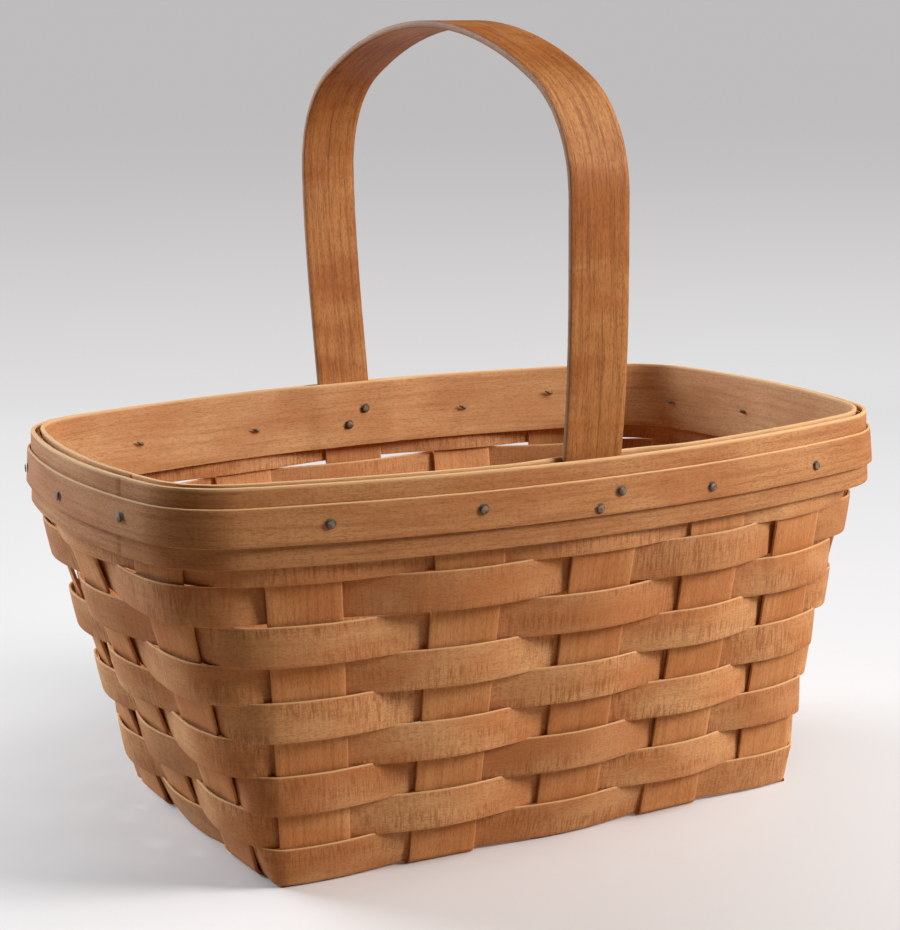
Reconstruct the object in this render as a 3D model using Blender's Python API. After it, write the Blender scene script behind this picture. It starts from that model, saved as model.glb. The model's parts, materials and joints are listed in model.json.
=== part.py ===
"""Rectangular splint market basket with a fixed bent handle, modelled piece by piece.

Frame: X along the long side, Y across the width with the front at -Y, Z up, base resting on z = 0.
Every splint is a closed ribbon that follows one wall surface, set in or out by its place in the weave.
"""
import math

import bpy
from mathutils import Vector

MM = 0.001

# Fit between pieces that touch, and the looser fit of the bent weavers on the uprights
CLEARANCE = 0.3 * MM
WEAVER_CLEARANCE = 0.4 * MM

# Splint stock
UPRIGHT_WIDTH = 25.0 * MM
UPRIGHT_THICKNESS = 1.2 * MM
WEAVER_WIDTH = 12.9 * MM
WEAVER_THICKNESS = 0.9 * MM
BAND_WIDTH = 26.2 * MM
BAND_THICKNESS = 1.5 * MM
TRIM_WIDTH = 12.6 * MM
TRIM_THICKNESS = 1.0 * MM
HANDLE_WIDTH = 22.5 * MM
HANDLE_THICKNESS = 2.4 * MM

# Wall outline at the base and at the rim, on the middle of the uprights' thickness
BASE_HALF_LENGTH = 107.0 * MM
BASE_HALF_WIDTH = 70.0 * MM
BASE_SIDE_RADIUS = 1300.0 * MM
BASE_END_RADIUS = 3000.0 * MM
BASE_CORNER_RADIUS = 3.0 * MM
RIM_HALF_LENGTH = 147.7 * MM
RIM_HALF_WIDTH = 96.7 * MM
RIM_SIDE_RADIUS = 406.0 * MM
RIM_END_RADIUS = 258.0 * MM
RIM_CORNER_RADIUS = 31.0 * MM
RIM_SPLAY = 1.8 * MM
KNEE_BELOW_BAND = 5.0 * MM
BASE_FOLD_RADIUS = 2.0 * MM

# Where each upright crosses the base and the rim, as shares of the half length for the crosswise ones
# and of the half width for the lengthwise ones
CROSSWISE_AT_BASE = tuple(BASE_HALF_LENGTH * share for share in (-0.8598, -0.4252, 0.0280, 0.4579, 0.8645))
CROSSWISE_AT_RIM = tuple(RIM_HALF_LENGTH * share for share in (-0.6906, -0.3114, 0.0339, 0.3656, 0.6534))
LENGTHWISE_AT_BASE = tuple(BASE_HALF_WIDTH * share for share in (-0.5643, 0.0143, 0.5857))
LENGTHWISE_AT_RIM = tuple(RIM_HALF_WIDTH * share for share in (-0.5688, 0.0414, 0.5895))
UPRIGHT_END_BELOW_RIM = 1.5 * MM

# Weave, bottom row first
FIRST_ROW_BOTTOM = 1.0 * MM
FIRST_ROW_RISE = 1.4 * MM
ROW_GAPS = tuple(gap * MM for gap in (0.9, 0.4, 0.3, 0.4, 0.3, 0.4, 1.5, 0.6))
ROW_TILT = 1.6 * MM
TOP_ROW_BACK_LIFT = 1.6 * MM
CROSSING_MARGIN = 0.6 * MM

# Rim: how the bands lie against the uprights and on each other
TOP_ROW_LAP = 7.0 * MM
INNER_BAND_STANDS_ABOVE = 0.6 * MM
BAND_SLACK_AT_TOP = 0.1 * MM
BAND_SPREAD = 2.1 * MM
TRIM_BELOW_RIM = 6.3 * MM
LAP_TIP = 0.2 * MM

# Handle, its legs a little to the right of the basket's middle and its arch leaning back to the left
HANDLE_ALONG = 0.4 * MM
HANDLE_LEAN = 1.5 * MM
HANDLE_ABOVE_RIM = 144.0 * MM
HANDLE_SPRING_BELOW_CROWN = 57.0 * MM
HANDLE_BULGE = 6.6 * MM
HANDLE_SHOULDER_RADIUS = 43.0 * MM
HANDLE_END_ABOVE_BAND_EDGE = 1.5 * MM

# Tacks
TACK_HEAD_RADIUS = 2.0 * MM
TACK_CROWN_RADIUS = 1.0 * MM
TACK_HEAD_HEIGHT = 0.8 * MM
TACK_SHANK_RADIUS = 0.65 * MM
TACK_POINT_RADIUS = 0.26 * MM
TACK_CLINCH = 3.2 * MM
TACK_CLINCH_SLOPE = 0.35
TACK_CLEARANCE = 0.5 * MM
TACK_SIDES = 8
HOLE_SIDES = 6

# Each tack: wall, upright it goes through, shift along the wall and height above the middle of the trim
WALL_TACKS = (
    ("front", 0, 8.0, -0.2), ("front", 1, 2.5, 0.4), ("front", 3, -8.0, -2.0), ("front", 4, 1.0, -1.6),
    ("right", 0, 3.0, -1.0), ("right", 1, 9.5, -0.8), ("right", 2, 0.0, -2.2),
    ("back", 4, -3.0, 2.2), ("back", 3, 1.0, -1.5), ("back", 1, 6.0, -2.6), ("back", 0, 9.0, -1.4),
    ("left", 2, -2.0, -0.8), ("left", 1, 0.0, -1.7), ("left", 0, 10.5, -0.2),
)
HANDLE_TACKS = (
    ("front", -1.0, -3.8), ("front", 7.6, 1.2), ("back", 1.0, -3.9), ("back", 8.6, 2.2),
)

# Faceting
CROSSWISE_STEPS = 1
LENGTHWISE_STEPS = 3
GAP_STEPS = 3
BAND_GAP_STEPS = 2
CORNER_STEPS = 5
WALL_STEPS = 6
FOLD_STEPS = 3
LEG_STEPS = 6
SHOULDER_STEP = math.radians(7.5)
CROWN_STEP = math.radians(5.0)

WOOD_TAN = (0.46, 0.235, 0.098, 1.0)
WOOD_ORANGE = (0.43, 0.195, 0.070, 1.0)
WOOD_PALE = (0.50, 0.270, 0.120, 1.0)
STEEL_GREY = (0.20, 0.20, 0.21, 1.0)

SIDES = ("front", "right", "back", "left")


def clear_scene():
    """Remove the objects of the open scene."""
    for thing in list(bpy.data.objects):
        bpy.data.objects.remove(thing, do_unlink=True)


def principled(name, colour, roughness, metallic=0.0):
    """A plain surface of one colour."""
    material = bpy.data.materials.new(name)
    material.use_nodes = True
    shader = material.node_tree.nodes["Principled BSDF"]
    shader.inputs["Base Color"].default_value = colour
    shader.inputs["Roughness"].default_value = roughness
    shader.inputs["Metallic"].default_value = metallic
    return material


def blend(start, end, share):
    return start + (end - start) * share


def ease(share):
    """Smooth step from 0 to 1."""
    share = min(max(share, 0.0), 1.0)
    return share * share * (3.0 - 2.0 * share)


class Outline:
    """Closed outline of tangent arcs: two bowed sides, two bowed ends and four round corners.

    Lengths run anticlockwise from the middle of the front side.
    """

    def __init__(self, half_length, half_width, side_curve, end_curve, corner):
        side_radius = 1.0 / side_curve
        end_radius = 1.0 / end_curve
        side_centre = Vector((0.0, half_width - side_radius))
        end_centre = Vector((half_length - end_radius, 0.0))
        to_side = side_radius - corner
        to_end = end_radius - corner
        across = end_centre - side_centre
        reach = across.length
        along = (to_side ** 2 - to_end ** 2 + reach ** 2) / (2.0 * reach)
        off = math.sqrt(to_side ** 2 - along ** 2)
        unit = across / reach
        corner_centre = side_centre + unit * along + Vector((unit.y, -unit.x)) * off
        from_side = corner_centre - side_centre
        from_end = corner_centre - end_centre
        steep = math.atan2(from_side.y, from_side.x)
        shallow = math.atan2(from_end.y, from_end.x)
        cx, cy = corner_centre
        sy = side_centre.y
        ex = end_centre.x
        half_turn = math.pi
        self.arcs = [
            (0.0, -sy, side_radius, -half_turn / 2, -steep),
            (cx, -cy, corner, -steep, -shallow),
            (ex, 0.0, end_radius, -shallow, shallow),
            (cx, cy, corner, shallow, steep),
            (0.0, sy, side_radius, steep, half_turn - steep),
            (-cx, cy, corner, half_turn - steep, half_turn - shallow),
            (-ex, 0.0, end_radius, half_turn - shallow, half_turn + shallow),
            (-cx, -cy, corner, half_turn + shallow, half_turn + steep),
            (0.0, -sy, side_radius, half_turn + steep, 1.5 * half_turn),
        ]
        self.around = sum(radius * (end - start) for _, _, radius, start, end in self.arcs)

    def at(self, length):
        """Point and outward direction at a length along the outline."""
        length = length % self.around
        for x, y, radius, start, end in self.arcs:
            run = radius * (end - start)
            if length <= run:
                break
            length -= run
        angle = min(start + length / radius, end)
        outward = Vector((math.cos(angle), math.sin(angle)))
        return Vector((x, y)) + outward * radius, outward

    def length_to(self, side, place):
        """Length at which the outline passes a place on one side: X on the long sides, Y on the ends."""
        quarter = SIDES.index(side)
        low = (quarter - 1) * self.around / 4.0
        high = (quarter + 1) * self.around / 4.0
        axis = quarter % 2
        rising = 1.0 if quarter < 2 else -1.0
        for _ in range(40):
            middle = (low + high) / 2.0
            if (self.at(middle)[0][axis] - place) * rising < 0.0:
                low = middle
            else:
                high = middle
        return (low + high) / 2.0


def row_bottoms():
    """Lower edges of the weaver rows, bottom row first, each resting on the one below."""
    heights = [FIRST_ROW_BOTTOM]
    for gap in ROW_GAPS:
        heights.append(heights[-1] + WEAVER_WIDTH + gap)
    return heights


ROWS = row_bottoms()
BAND_BOTTOM = ROWS[-1] + WEAVER_WIDTH - TOP_ROW_LAP
RIM_TOP = BAND_BOTTOM + BAND_WIDTH
KNEE = BAND_BOTTOM - KNEE_BELOW_BAND
KNEE_FLARE = 1.0 - RIM_SPLAY / (RIM_HALF_LENGTH - BASE_HALF_LENGTH)
UPRIGHT_TOP = RIM_TOP - UPRIGHT_END_BELOW_RIM
TRIM_TOP = RIM_TOP - TRIM_BELOW_RIM
TRIM_BOTTOM = TRIM_TOP - TRIM_WIDTH

HALF_UPRIGHT = UPRIGHT_THICKNESS / 2.0
HALF_WEAVER = WEAVER_THICKNESS / 2.0
LOW_LAYER = HALF_UPRIGHT
HIGH_LAYER = LOW_LAYER + UPRIGHT_THICKNESS + CLEARANCE

# Middle of a weaver, and faces of the bands that look at the uprights, from the middle of the uprights
WEAVER_SEAT = HALF_UPRIGHT + WEAVER_CLEARANCE + HALF_WEAVER
BAND_SEAT_TOP = HALF_UPRIGHT + CLEARANCE + BAND_SLACK_AT_TOP
BAND_SEAT_BOTTOM = BAND_SEAT_TOP + BAND_SPREAD


def flare(height):
    """Share of the way from the base outline to the rim outline."""
    if height < KNEE:
        return KNEE_FLARE * height / KNEE
    return blend(KNEE_FLARE, 1.0, (height - KNEE) / (RIM_TOP - KNEE))


WALL_CACHE = {}


def wall(height):
    """Outline of the middle of the wall at one height."""
    key = round(height, 7)
    if key not in WALL_CACHE:
        share = flare(height)
        WALL_CACHE[key] = Outline(
            blend(BASE_HALF_LENGTH, RIM_HALF_LENGTH, share),
            blend(BASE_HALF_WIDTH, RIM_HALF_WIDTH, share),
            blend(1.0 / BASE_SIDE_RADIUS, 1.0 / RIM_SIDE_RADIUS, share),
            blend(1.0 / BASE_END_RADIUS, 1.0 / RIM_END_RADIUS, share),
            blend(BASE_CORNER_RADIUS, RIM_CORNER_RADIUS, share),
        )
    return WALL_CACHE[key]


def upright_place(side, index, height):
    """Place of an upright's middle along its side at one height."""
    if side in ("front", "back"):
        return blend(CROSSWISE_AT_BASE[index], CROSSWISE_AT_RIM[index], flare(height))
    return blend(LENGTHWISE_AT_BASE[index], LENGTHWISE_AT_RIM[index], flare(height))


# Order in which a row meets the uprights, anticlockwise from the front left corner
CROSSINGS = (
    [("front", index) for index in range(len(CROSSWISE_AT_BASE))]
    + [("right", index) for index in range(len(LENGTHWISE_AT_BASE))]
    + [("back", index) for index in reversed(range(len(CROSSWISE_AT_BASE)))]
    + [("left", index) for index in reversed(range(len(LENGTHWISE_AT_BASE)))]
)
HANDLE_UPRIGHT = len(CROSSWISE_AT_BASE) // 2


def crossing_lengths(height):
    """Length along the outline of each crossing, the last one repeated a full turn on."""
    outline = wall(height)
    lengths = [outline.length_to(side, upright_place(side, index, height)) for side, index in CROSSINGS]
    lengths.append(lengths[0] + outline.around)
    return lengths


def spans_over(crossing):
    """Facets across one upright: those on the tighter ends of the basket need more."""
    return CROSSWISE_STEPS if CROSSINGS[crossing][0] in ("front", "back") else LENGTHWISE_STEPS


def solid(name, rings, material):
    """Skin a run of like rings into one closed body with a cap at each end."""
    points = [point for ring in rings for point in ring]
    count = len(rings)
    size = len(rings[0])
    faces = []
    for ring in range(count - 1):
        here = ring * size
        there = here + size
        for corner in range(size):
            after = (corner + 1) % size
            faces.append((here + corner, there + corner, there + after, here + after))
    faces.append(tuple(range(size)))
    faces.append(tuple(reversed(range((count - 1) * size, count * size))))
    mesh = bpy.data.meshes.new(name)
    mesh.from_pydata(points, [], faces)
    mesh.update()
    signed = sum(
        mesh.vertices[face.vertices[0]].co.dot(
            mesh.vertices[face.vertices[step]].co.cross(mesh.vertices[face.vertices[step + 1]].co))
        for face in mesh.polygons for step in range(1, len(face.vertices) - 1)
    )
    if signed < 0.0:
        mesh.flip_normals()
    mesh.shade_smooth()
    mesh.set_sharp_from_angle(angle=math.radians(30.0))
    mesh.materials.append(material)
    thing = bpy.data.objects.new(name, mesh)
    bpy.context.collection.objects.link(thing)
    return thing


def across_width(spans):
    """Offsets across an upright, from edge to edge, the inner ones in line with a weaver's stations."""
    half = UPRIGHT_WIDTH / 2.0 + CROSSING_MARGIN
    inner = [half * (2.0 * step / spans - 1.0) for step in range(1, spans)]
    return [-UPRIGHT_WIDTH / 2.0] + inner + [UPRIGHT_WIDTH / 2.0]


def base_level(crosswise, index, other):
    """Height of an upright's middle in the base where it crosses another: over and under by turns."""
    crosswise_over = (index + other) % 2 == 0
    return HIGH_LAYER if crosswise_over == crosswise else LOW_LAYER


def base_run(crosswise, index):
    """Places and heights along the base of one upright, between its two folds."""
    places = LENGTHWISE_AT_BASE if crosswise else CROSSWISE_AT_BASE
    reach = (BASE_HALF_WIDTH if crosswise else BASE_HALF_LENGTH) - BASE_FOLD_RADIUS
    half = UPRIGHT_WIDTH / 2.0 + CROSSING_MARGIN
    run = []
    for other, place in enumerate(places):
        level = base_level(crosswise, index, other)
        run += [(place - half, level), (place + half, level)]
    first = run[0][1] if run[0][0] < -reach else LOW_LAYER
    last = run[-1][1] if run[-1][0] > reach else LOW_LAYER
    inner = [(place, level) for place, level in run if abs(place) < reach - CROSSING_MARGIN]
    return first, inner, last


def wall_ring(side, index, height, spans, level=None, turn=0.0):
    """Ring across an upright on the wall, or part way round its fold into the base."""
    foot = height if level is None else level + BASE_FOLD_RADIUS
    outline = wall(foot)
    middle = outline.length_to(side, upright_place(side, index, foot))
    direction = 1.0 if side in ("front", "right") else -1.0
    outer, inner = [], []
    for offset in across_width(spans):
        point, outward = outline.at(middle + direction * offset)
        if level is None:
            centre = Vector((point.x, point.y, height))
            away = Vector((outward.x, outward.y, 0.0))
        else:
            away = Vector((outward.x * math.cos(turn), outward.y * math.cos(turn), -math.sin(turn)))
            pivot = point - outward * BASE_FOLD_RADIUS
            centre = Vector((pivot.x, pivot.y, foot)) + away * BASE_FOLD_RADIUS
        outer.append(centre + away * HALF_UPRIGHT)
        inner.append(centre - away * HALF_UPRIGHT)
    return outer + inner[::-1]


def wall_rings(side, index, spans, level):
    """Rings from the top of one wall down and round the fold."""
    heights = [UPRIGHT_TOP, BAND_BOTTOM] + [KNEE * (1.0 - step / WALL_STEPS) for step in range(WALL_STEPS)]
    rings = [wall_ring(side, index, height, spans) for height in heights]
    for step in range(FOLD_STEPS + 1):
        turn = math.pi / 2.0 * step / FOLD_STEPS
        rings.append(wall_ring(side, index, 0.0, spans, level, turn))
    return rings


def upright(name, crosswise, index, material):
    """One upright splint: down one wall, under the base and up the wall opposite."""
    spans = CROSSWISE_STEPS if crosswise else LENGTHWISE_STEPS
    near, far = ("front", "back") if crosswise else ("left", "right")
    first, run, end = base_run(crosswise, index)
    middle = (CROSSWISE_AT_BASE if crosswise else LENGTHWISE_AT_BASE)[index]
    rings = wall_rings(near, index, spans, first)
    for place, level in run:
        outer, inner = [], []
        for offset in across_width(spans):
            x, y = (middle + offset, place) if crosswise else (place, middle + offset)
            outer.append(Vector((x, y, level - HALF_UPRIGHT)))
            inner.append(Vector((x, y, level + HALF_UPRIGHT)))
        rings.append(outer + inner[::-1])
    rings += wall_rings(far, index, spans, end)[::-1]
    return solid(name, rings, material)


class Station:
    """One cross-section of a hoop: where it is on the wall and how far its edges stand off it."""

    def __init__(self, bottom, top, away):
        self.bottom = bottom
        self.top = top
        self.away = away

    def ring(self, thickness, near, far):
        """Four corners, with the faces at the given depths from the side that touches the wall."""
        points = []
        for (point, outward, height, middle), order in ((self.bottom, 1), (self.top, -1)):
            face = middle - self.away * thickness / 2.0
            offsets = sorted((face + self.away * near, face + self.away * far))[::order]
            for offset in offsets:
                place = point + outward * offset
                points.append(Vector((place.x, place.y, height)))
        return [points[1], points[0], points[3], points[2]]


def hoop_places(bottom, top, gap_spans):
    """Places round a hoop as (crossing, share of the way in or over the gap, lengths at both edges)."""
    low = crossing_lengths(bottom)
    high = crossing_lengths(top)
    half = UPRIGHT_WIDTH / 2.0 + CROSSING_MARGIN
    places = []
    for crossing in range(len(CROSSINGS)):
        spans = spans_over(crossing)
        for step in range(spans):
            offset = half * (2.0 * step / spans - 1.0)
            places.append((crossing, 0.0, low[crossing] + offset, high[crossing] + offset))
        corner = CROSSINGS[crossing][0] != CROSSINGS[(crossing + 1) % len(CROSSINGS)][0]
        spans = CORNER_STEPS if corner else gap_spans
        for step in range(spans):
            share = step / spans
            places.append((crossing, share, blend(low[crossing] + half, low[crossing + 1] - half, share),
                           blend(high[crossing] + half, high[crossing + 1] - half, share)))
    return places


def lapped_hoop(name, stations, thickness, lap, outer_end_first, material):
    """A strip bent into a hoop, its two ends thinned and laid over each other between two stations."""
    first, last = lap
    count = len(stations)
    rings = []
    for order in range(count + last - first + 1):
        station = stations[(first + order) % count]
        near, far = 0.0, thickness
        start_pass = order <= last - first
        end_pass = order >= count
        if start_pass or end_pass:
            share = (order % count) / (last - first)
            thick_end = thickness - CLEARANCE - LAP_TIP
            under = blend(thick_end, LAP_TIP, share) if outer_end_first else blend(LAP_TIP, thick_end, share)
            if start_pass == outer_end_first:
                near = under + CLEARANCE
            else:
                far = under
        rings.append(station.ring(thickness, near, far))
    return solid(name, rings, material)


def weaver(name, row, lap_crossing, material):
    """One row: a strip that goes outside and inside the uprights by turns, its ends lapped on one of them."""
    bottom = ROWS[row]
    top = bottom + WEAVER_WIDTH
    tilt = ROW_TILT * min(1.0, max(0.0, (KNEE - bottom) / WEAVER_WIDTH))
    low_around = wall(bottom).around
    high_around = wall(top).around
    top_row = row == len(ROWS) - 1
    stations = []
    lap = []
    for number, (crossing, share, low, high) in enumerate(hoop_places(bottom, top, GAP_STEPS)):
        outside = 1.0 if (crossing + row) % 2 == 0 else -1.0
        swing = outside * (1.0 - 2.0 * ease(share))
        middle = swing * (WEAVER_SEAT + tilt / 2.0)
        rise = FIRST_ROW_RISE * (1.0 - swing) / 2.0 if row == 0 else 0.0
        if top_row:
            rise = TOP_ROW_BACK_LIFT * ease(wall(bottom).at(low)[0].y / BASE_HALF_WIDTH)
        lower = wall(bottom + rise)
        upper = wall(top + rise)
        foot, foot_out = lower.at(low * lower.around / low_around)
        head, head_out = upper.at(high * upper.around / high_around)
        stations.append(Station((foot, foot_out, bottom + rise, middle + tilt / 2.0),
                                (head, head_out, top + rise, middle - tilt / 2.0), outside))
        if crossing == lap_crossing and not lap:
            lap = [number, number + spans_over(crossing)]
    return lapped_hoop(name, stations, WEAVER_THICKNESS, lap, False, material)


def band_stations(bottom, top, seat_bottom, seat_top, thickness, away, leg_room=0.0):
    """Stations of a band that lies on the uprights, bowing round the handle legs where it needs room."""
    stations = []
    handle_crossings = [CROSSINGS.index((side, HANDLE_UPRIGHT)) for side in ("front", "back")]
    for crossing, share, low, high in hoop_places(bottom, top, BAND_GAP_STEPS):
        room = 0.0
        if crossing in handle_crossings:
            room = leg_room * (1.0 - ease(share))
        elif crossing + 1 in handle_crossings:
            room = leg_room * ease(share)
        foot, foot_out = wall(bottom).at(low)
        head, head_out = wall(top).at(high)
        low_face = max(seat_bottom, seat_top + room) if room else seat_bottom
        high_face = seat_top + room
        stations.append(Station((foot, foot_out, bottom, away * (low_face + thickness / 2.0)),
                                (head, head_out, top, away * (high_face + thickness / 2.0)), away))
    return stations


def place_number(crossing):
    """Number of a band's first station over an upright."""
    places = hoop_places(BAND_BOTTOM, RIM_TOP, BAND_GAP_STEPS)
    return next(number for number, place in enumerate(places) if place[0] == crossing)


def leg_seat(height):
    """Depth of the handle's outer face from the wall's middle: flat on the bowed upright's inmost edge."""
    outline = wall(height)
    far_edge = upright_place("front", HANDLE_UPRIGHT, height) + UPRIGHT_WIDTH / 2.0
    bow = outline.at(outline.length_to("front", far_edge))[0].y - outline.at(0.0)[0].y
    return bow + HALF_UPRIGHT + CLEARANCE


def seat_at(height):
    """Depth of the outer band's inner face from the middle of the uprights."""
    return blend(BAND_SEAT_BOTTOM, BAND_SEAT_TOP, (height - BAND_BOTTOM) / BAND_WIDTH)


def rim_bands(wood):
    """Inner band, outer band and the narrower trim nailed round them."""
    inner_lift = INNER_BAND_STANDS_ABOVE
    leg_room = leg_seat(RIM_TOP) + HANDLE_THICKNESS + CLEARANCE - BAND_SEAT_TOP
    inner = band_stations(BAND_BOTTOM + inner_lift, RIM_TOP + inner_lift, BAND_SEAT_BOTTOM, BAND_SEAT_TOP,
                          BAND_THICKNESS, -1.0, leg_room)
    outer = band_stations(BAND_BOTTOM, RIM_TOP, BAND_SEAT_BOTTOM, BAND_SEAT_TOP, BAND_THICKNESS, 1.0)
    on_band = BAND_THICKNESS + CLEARANCE
    trim = band_stations(TRIM_BOTTOM, TRIM_TOP, seat_at(TRIM_BOTTOM) + on_band, seat_at(TRIM_TOP) + on_band,
                         TRIM_THICKNESS, 1.0)
    left_front = CROSSINGS.index(("left", 0))
    left_middle = CROSSINGS.index(("left", 1))
    back_right = CROSSINGS.index(("back", 3))
    gap_start = place_number(left_middle) + LENGTHWISE_STEPS
    front_start = place_number(left_front)
    trim_start = place_number(back_right)
    return [
        lapped_hoop("inner_band", inner, BAND_THICKNESS,
                    (gap_start, gap_start + BAND_GAP_STEPS), True, wood),
        lapped_hoop("outer_band", outer, BAND_THICKNESS,
                    (front_start, front_start + LENGTHWISE_STEPS), True, wood),
        lapped_hoop("trim_band", trim, TRIM_THICKNESS,
                    (trim_start, trim_start + CROSSWISE_STEPS + BAND_GAP_STEPS), True, wood),
    ]


def handle_profile():
    """Outer face of the handle from the front leg's lower end to the crown, as (Y, Z, outward angle)."""
    seat_y = wall(RIM_TOP).at(0.0)[0].y + leg_seat(RIM_TOP)
    low = BAND_BOTTOM + HANDLE_END_ABOVE_BAND_EDGE
    low_y = wall(low).at(0.0)[0].y + leg_seat(low)
    half_span = -seat_y + HANDLE_BULGE
    leg = HANDLE_ABOVE_RIM - HANDLE_SPRING_BELOW_CROWN
    spring = RIM_TOP + leg
    rise = HANDLE_SPRING_BELOW_CROWN
    leg_radius = (leg ** 2 + HANDLE_BULGE ** 2) / (2.0 * HANDLE_BULGE)
    shoulder = HANDLE_SHOULDER_RADIUS
    inset = half_span - shoulder
    crown = (inset ** 2 + rise ** 2 - shoulder ** 2) / (2.0 * (rise - shoulder))
    handover = math.atan2(crown - rise, inset)
    points = [(low_y, low, 0.0), (seat_y, RIM_TOP, 0.0)]
    leg_turn = math.asin(leg / leg_radius)
    for step in range(1, LEG_STEPS):
        angle = leg_turn * (step / LEG_STEPS - 1.0)
        points.append((-half_span + leg_radius * (1.0 - math.cos(angle)),
                       spring + leg_radius * math.sin(angle), angle))
    steps = math.ceil(handover / SHOULDER_STEP)
    for step in range(steps):
        angle = handover * step / steps
        points.append((-inset - shoulder * math.cos(angle), spring + shoulder * math.sin(angle), angle))
    steps = math.ceil((math.pi / 2.0 - handover) / CROWN_STEP)
    for step in range(steps + 1):
        angle = blend(handover, math.pi / 2.0, step / steps)
        points.append((-crown * math.cos(angle),
                       RIM_TOP + HANDLE_ABOVE_RIM - crown + crown * math.sin(angle), angle))
    return points


def handle(wood):
    """One thick strip, steamed and bent to an arch, with both legs held inside the rim."""
    front = handle_profile()
    whole = front + [(-y, z, math.pi - angle) for y, z, angle in front[-2::-1]]
    rings = []
    leg = HANDLE_ABOVE_RIM - HANDLE_SPRING_BELOW_CROWN
    for y, z, angle in whole:
        outer = Vector((HANDLE_ALONG - HANDLE_LEAN * ease((z - RIM_TOP) / leg), y, z))
        inward = Vector((0.0, math.cos(angle), -math.sin(angle))) * HANDLE_THICKNESS
        half = Vector((HANDLE_WIDTH / 2.0, 0.0, 0.0))
        rings.append([outer - half, outer + half, outer + half + inward, outer - half + inward])
    return solid("handle", rings, wood)


def tack_line(side, place, height):
    """Point on the middle of the wall and outward direction where a tack goes through."""
    outline = wall(height)
    point, outward = outline.at(outline.length_to(side, place))
    return Vector((point.x, point.y, height)), Vector((outward.x, outward.y, 0.0))


def tack_depths(height, through_handle):
    """Outer face of the trim and inner face of the inner band, as distances out from the wall's middle."""
    outer = seat_at(height) + BAND_THICKNESS + CLEARANCE + TRIM_THICKNESS
    low, high = BAND_SEAT_BOTTOM, BAND_SEAT_TOP
    if through_handle:
        high = leg_seat(height) + HANDLE_THICKNESS + CLEARANCE
        low = max(low, high)
    share = (height - BAND_BOTTOM - INNER_BAND_STANDS_ABOVE) / BAND_WIDTH
    return outer, -(blend(low, high, share) + BAND_THICKNESS)


def tack(name, point, outward, outer, inner, steel, head_inside=False):
    """Round-headed tack through the rim, its point bent over flat against the far side."""
    if head_inside:
        outward = -outward
        outer, inner = -inner, -outer
    sideways = Vector((-outward.y, outward.x, 0.0))
    up = Vector((0.0, 0.0, 1.0))
    under_head = outer + CLEARANCE
    turned = inner - TACK_CLEARANCE - TACK_SHANK_RADIUS
    along = (sideways + up * TACK_CLINCH_SLOPE).normalized()
    across = outward.cross(along)
    rings = []

    def ring(centre, axis, radius):
        circle = []
        for step in range(TACK_SIDES):
            angle = 2.0 * math.pi * step / TACK_SIDES
            circle.append(centre + (axis * math.cos(angle) + across * math.sin(angle)) * radius)
        rings.append(circle)

    ring(point + outward * (under_head + TACK_HEAD_HEIGHT), along, TACK_CROWN_RADIUS)
    ring(point + outward * under_head, along, TACK_HEAD_RADIUS)
    ring(point + outward * under_head, along, TACK_SHANK_RADIUS)
    ring(point + outward * (turned + TACK_SHANK_RADIUS), along, TACK_SHANK_RADIUS)
    ring(point + outward * turned + along * TACK_SHANK_RADIUS, outward, TACK_SHANK_RADIUS)
    ring(point + outward * turned + along * TACK_CLINCH, outward, TACK_POINT_RADIUS)
    return solid(name, rings, steel)


def cut_hole(cutters, point, outward, outer, inner):
    """Add one bored hole's cutter along a tack."""
    across = outward.cross(Vector((0.0, 0.0, 1.0)))
    up = Vector((0.0, 0.0, 1.0))
    radius = (TACK_SHANK_RADIUS + CLEARANCE) / math.cos(math.pi / HOLE_SIDES)
    reach = TACK_HEAD_RADIUS
    for depth in (outer + reach, inner - reach):
        circle = []
        for step in range(HOLE_SIDES):
            angle = 2.0 * math.pi * step / HOLE_SIDES
            spoke = across * math.cos(angle) + up * math.sin(angle)
            circle.append(point + outward * depth + spoke * radius)
        cutters.append(circle)


def tacks_and_holes(pieces, steel):
    """Every tack, and the hole it fills in each piece that it holds together."""
    lines = []
    for side, index, shift, lift in WALL_TACKS:
        height = TRIM_BOTTOM + TRIM_WIDTH / 2.0 + lift * MM
        place = upright_place(side, index, height) + shift * MM
        point, outward = tack_line(side, place, height)
        outer, inner = tack_depths(height, False)
        run = "crosswise" if side in ("front", "back") else "lengthwise"
        holds = ["{}_upright_{}".format(run, index + 1)]
        lines.append((side, point, outward, outer, inner, False, holds))
    for side, place, lift in HANDLE_TACKS:
        height = TRIM_BOTTOM + TRIM_WIDTH / 2.0 + lift * MM
        point, outward = tack_line(side, place * MM, height)
        outer, inner = tack_depths(height, True)
        holds = ["crosswise_upright_" + str(HANDLE_UPRIGHT + 1), "handle"]
        lines.append((side, point, outward, outer, inner, side == "back", holds))
    bored = {}
    counts = {}
    for side, point, outward, outer, inner, head_inside, holds in lines:
        counts[side] = counts.get(side, 0) + 1
        tack("tack_{}_{}".format(side, counts[side]), point, outward, outer, inner, steel, head_inside)
        for name in ["inner_band", "outer_band", "trim_band"] + holds:
            cut_hole(bored.setdefault(name, []), point, outward, outer, inner)
    for name, circles in bored.items():
        bore(pieces[name], circles)


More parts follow.
